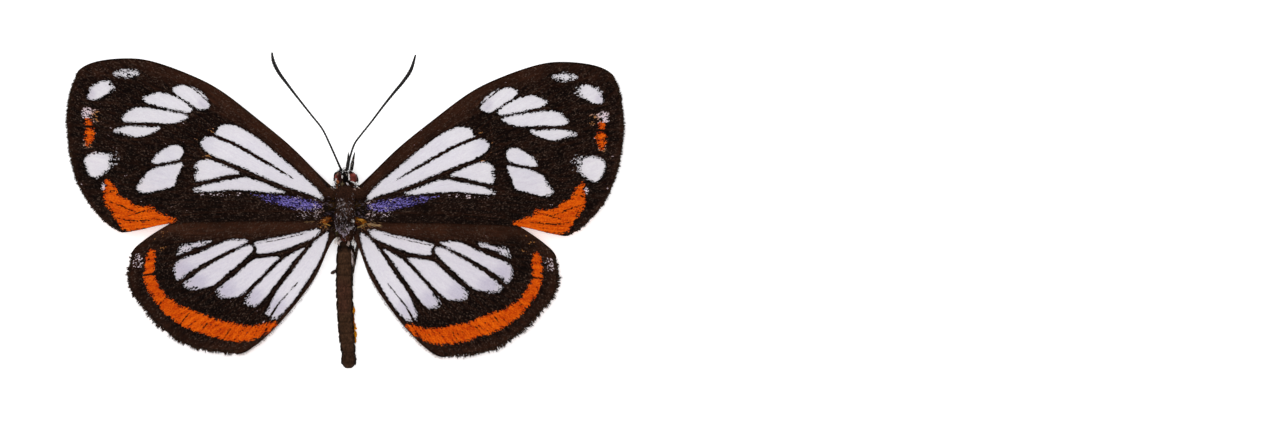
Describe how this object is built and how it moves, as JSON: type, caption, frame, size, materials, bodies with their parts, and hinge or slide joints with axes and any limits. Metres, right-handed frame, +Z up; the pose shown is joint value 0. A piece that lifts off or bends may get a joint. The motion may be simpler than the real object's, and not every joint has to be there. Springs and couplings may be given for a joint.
{
  "type": "spread butterfly specimen",
  "caption": "Dried butterfly with its wings spread flat, clubbed antennae, long palps, slim ringed abdomen and legs folded beneath; lies on its underside.",
  "frame": {"origin": "centre of the outline's box seen from above, on the surface that the butterfly lies on", "axes": "+Z up from the surface, +Y from tail to head, +X to the butterfly's right"},
  "size_m": [0.046, 0.0259, 0.0031],
  "materials": {
    "wing_scales": "dusty wing scales, black brown with pale windows and orange bands",
    "body_scales": "matt, covered with fine scales and hair",
    "eye_skin": "dark red brown, softly glossy",
    "horn_black": "dull black",
    "leg_brown": "brown, finely scaled"
  },
  "bodies": {
    "root": {"forewing_left": "wing_scales", "forewing_right": "wing_scales", "hindwing_left": "wing_scales", "hindwing_right": "wing_scales", "thorax": "body_scales", "abdomen": "body_scales", "head": "body_scales", "eye_left": "eye_skin", "eye_right": "eye_skin", "antenna_left": "horn_black", "antenna_right": "horn_black", "palp_left": "horn_black", "palp_right": "horn_black", "midleg_left": "leg_brown", "midleg_right": "leg_brown", "hindleg_left": "leg_brown", "hindleg_right": "leg_brown"}
  },
  "joints": []
}
